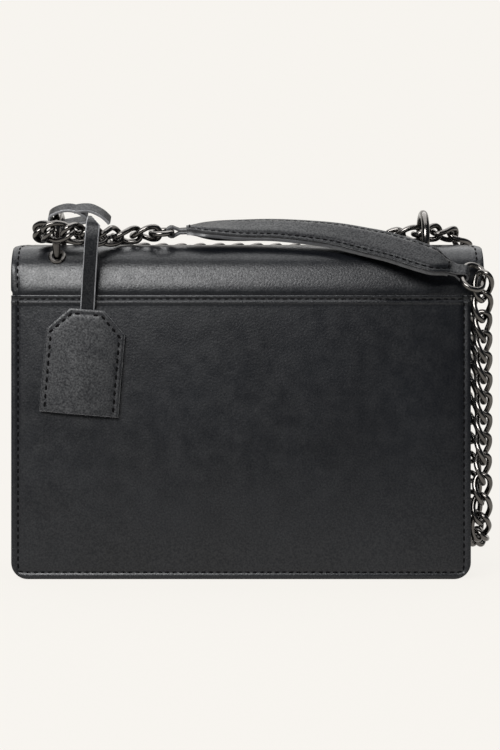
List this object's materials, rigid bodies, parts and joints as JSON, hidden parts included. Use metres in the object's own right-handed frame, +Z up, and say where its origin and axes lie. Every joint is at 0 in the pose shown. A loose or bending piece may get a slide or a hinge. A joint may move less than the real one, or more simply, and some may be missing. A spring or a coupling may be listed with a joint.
{
  "type": "chain shoulder bag",
  "caption": "Structured flap shoulder bag with a back slip pocket, folding gussets, a curb chain through two rings, a padded handle and a hang tag.",
  "frame": {"origin": "middle of the base, on the surface that the bag stands on", "axes": "+X to the right of someone who looks at the back of the bag, the back with its slip pocket faces -Y, +Z up"},
  "size_m": [0.2316, 0.097, 0.1808],
  "materials": {
    "leather": "smooth black calf leather, soft sheen",
    "metal": "polished dark gunmetal plating",
    "lining": "black lining cloth",
    "board": "stiff base board",
    "padding": "foam padding"
  },
  "bodies": {
    "bag_body": {"back_panel": "leather", "back_pocket_panel": "leather", "front_panel": "leather", "base_panel": "leather", "left_gusset": "leather", "right_gusset": "leather", "top_yoke": "leather", "left_ring": "metal", "right_ring": "metal", "left_eyelets": "metal", "right_eyelets": "metal", "base_board": "board", "back_lining": "lining", "front_lining": "lining", "divider_panel": "leather", "inner_slip_pocket": "leather", "snap_socket": "metal", "chain_top_run": "metal", "chain_left_turn": "metal", "tag_loop": "leather"},
    "flap": {"flap_panel": "leather", "flap_lining": "lining", "snap_stud": "metal"},
    "handle": {"handle_base": "leather", "handle_core": "padding", "handle_top": "leather", "handle_left_tab": "leather", "handle_right_tab": "leather", "handle_left_ring": "metal", "handle_right_ring": "metal"},
    "side_loop": {"chain_side_loop": "metal"},
    "tag_hanger": {"tag_strap": "leather"},
    "tag": {"tag_back": "leather", "tag_front": "leather"}
  },
  "joints": [
    {"name": "flap_hinge", "type": "hinge", "parent": "bag_body", "child": "flap", "pos_m": [0, 0.01, 0.15607], "axis": [1, 0, 0], "range_deg": [0, 85]},
    {"name": "handle_rock", "type": "hinge", "parent": "bag_body", "child": "handle", "pos_m": [-0.04375, -0.02847, 0.16684], "axis": [0.9806, -0.1225, -0.1528], "range_deg": [0, 13]},
    {"name": "side_loop_swing", "type": "hinge", "parent": "bag_body", "child": "side_loop", "pos_m": [0.11461, -0.026, 0.14433], "axis": [0, -1, 0], "range_deg": [0, 30]},
    {"name": "tag_sway", "type": "hinge", "parent": "bag_body", "child": "tag_hanger", "pos_m": [-0.0735, -0.03367, 0.17384], "axis": [0, 1, 0], "range_deg": [-10, 10]},
    {"name": "tag_lift", "type": "hinge", "parent": "tag_hanger", "child": "tag", "pos_m": [-0.07317, -0.0433, 0.12881], "axis": [-0.9965, 0, 0.0837], "range_deg": [0, 75]}
  ]
}
